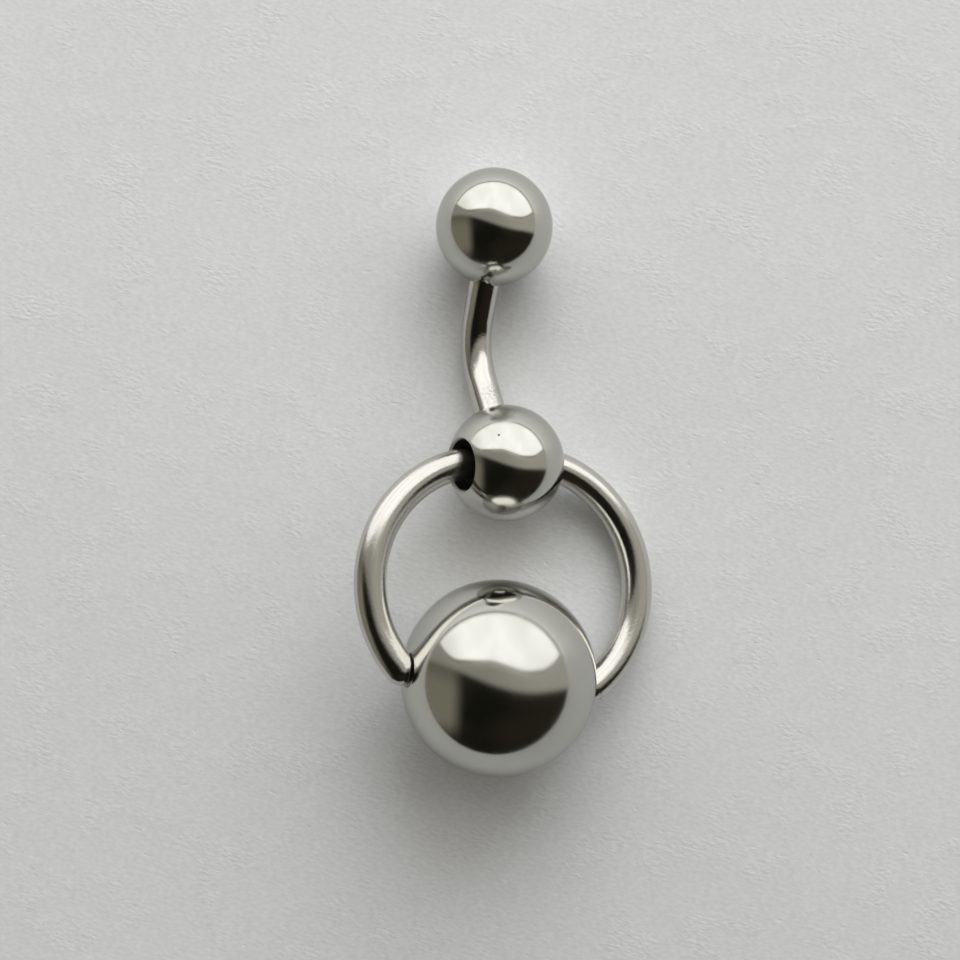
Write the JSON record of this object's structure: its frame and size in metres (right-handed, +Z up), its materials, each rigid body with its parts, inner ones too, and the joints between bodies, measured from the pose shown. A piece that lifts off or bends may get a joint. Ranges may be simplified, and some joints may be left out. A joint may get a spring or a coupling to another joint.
{
  "type": "curved barbell",
  "caption": "Curved steel barbell with a ball on each end; a round ring passes through the lower ball and holds a larger captive ball in its gap.",
  "frame": {"origin": "on the surface that the piece lies on, under the middle of its whole box", "axes": "+Y from the captive ball to the top ball, +Z up, +X to the side where the ring lies lowest"},
  "size_m": [0.0152, 0.0308, 0.0098],
  "materials": {
    "ball_steel": "mirror-polished surgical steel",
    "bar_steel": "polished surgical steel with fine draw lines along the bar",
    "ring_steel": "polished surgical steel with fine draw lines along the wire"
  },
  "bodies": {
    "barbell": {"top_ball": "ball_steel", "curved_bar": "bar_steel", "drilled_ball": "ball_steel"},
    "ring": {"captive_ring": "ring_steel", "captive_ball": "ball_steel"}
  },
  "joints": [
    {"name": "ring_swing", "type": "hinge", "parent": "barbell", "child": "ring", "pos_m": [-0.00011, 0.00027, 0.003], "axis": [-0.8561, -0.0419, 0.515], "range_deg": [-136, 132]}
  ]
}
